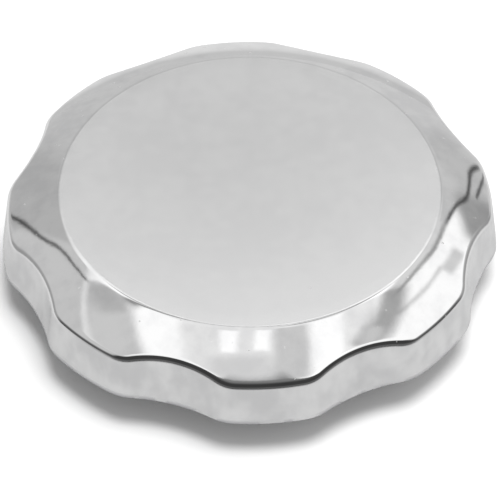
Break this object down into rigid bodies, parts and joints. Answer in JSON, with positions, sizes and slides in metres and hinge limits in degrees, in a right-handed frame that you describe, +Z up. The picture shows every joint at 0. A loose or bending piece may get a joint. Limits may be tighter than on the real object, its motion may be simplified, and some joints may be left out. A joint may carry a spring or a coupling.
{
  "type": "fuel tank cap",
  "caption": "Round chromed bayonet fuel cap with a scalloped grip edge, gasket, locking cup with ears and a vent.",
  "frame": {"origin": "on the cap's axis, in the plane of the flat foot that it stands on", "axes": "+Z up through the top of the cap, +X along the bayonet ears"},
  "size_m": [0.075, 0.075, 0.0164],
  "materials": {
    "chromed_cover": "polished, satin top",
    "zinc_pan": "zinc plated",
    "zinc_cup": "zinc plated",
    "spring_steel": "oiled spring steel",
    "rivet_steel": "zinc plated",
    "eyelet_brass": "satin",
    "gasket_rubber": "matt",
    "filter_foam": "open foam"
  },
  "bodies": {
    "root": {"cover_shell": "chromed_cover", "seat_pan": "zinc_pan", "gasket": "gasket_rubber", "lock_cup": "zinc_cup", "lock_spring": "spring_steel", "spring_rivet": "rivet_steel", "spring_washer": "rivet_steel", "baffle_dish": "zinc_pan", "vent_filter": "filter_foam", "vent_eyelet": "eyelet_brass"}
  },
  "joints": []
}
